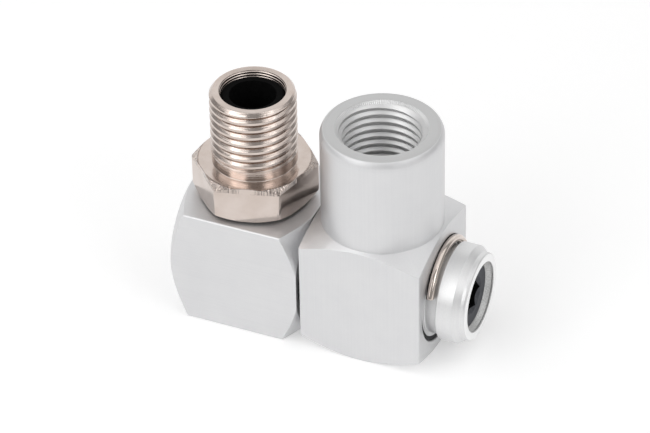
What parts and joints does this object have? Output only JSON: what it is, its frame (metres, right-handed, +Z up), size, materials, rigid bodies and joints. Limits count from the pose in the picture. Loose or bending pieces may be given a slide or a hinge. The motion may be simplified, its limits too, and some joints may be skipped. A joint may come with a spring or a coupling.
{
  "type": "swivel adapter",
  "caption": "Air line swivel adapter: square blocks that turn on each other about a hollow spindle, with a turning male pipe thread on one and a female pipe thread on the other.",
  "frame": {"origin": "centre of the outlet block's underside, below the middle of the outlet thread", "axes": "+Z up, along both threads; +X along the spindle, from the inlet block towards the snap ring and the plug; -Y faces the viewer of the picture"},
  "size_m": [0.0471, 0.0196, 0.0384],
  "materials": {
    "block": "fine-blasted and clear anodised, satin",
    "spindle": "turned and clear anodised, satin",
    "dark_steel": "gunmetal, phosphated",
    "black_steel": "matt black oxide",
    "spring_wire": "bright drawn wire",
    "nickel": "bright nickel plating over turned brass",
    "black_washer": "moulded black acetal",
    "slide_ring": "ivory slide plastic",
    "seal": "black nitrile rubber"
  },
  "bodies": {
    "inlet_block": {"inlet_body": "block", "spindle": "spindle", "spindle_plug": "dark_steel", "retaining_ring": "spring_wire", "inner_thrust_washer": "black_washer", "left_spindle_seal": "seal", "right_spindle_seal": "seal", "left_guide_ring": "slide_ring", "right_guide_ring": "slide_ring", "spindle_face_seal": "seal", "plug_seal": "seal", "stem_bolt": "black_steel", "stem_seal": "seal", "hex_thrust_washer": "black_washer"},
    "outlet_block": {"outlet_body": "block", "outer_thrust_washer": "black_washer"},
    "inlet_fitting": {"male_fitting": "nickel", "stem_washer": "slide_ring", "spigot_seal": "seal", "spigot_guide_ring": "slide_ring"}
  },
  "joints": [
    {"name": "outlet_swivel", "type": "hinge", "parent": "inlet_block", "child": "outlet_block", "pos_m": [0, 0, 0.00975], "axis": [1, 0, 0], "continuous": true},
    {"name": "inlet_swivel", "type": "hinge", "parent": "inlet_block", "child": "inlet_fitting", "pos_m": [-0.02085, 0, 0.02312], "axis": [0, 0, 1], "continuous": true}
  ]
}
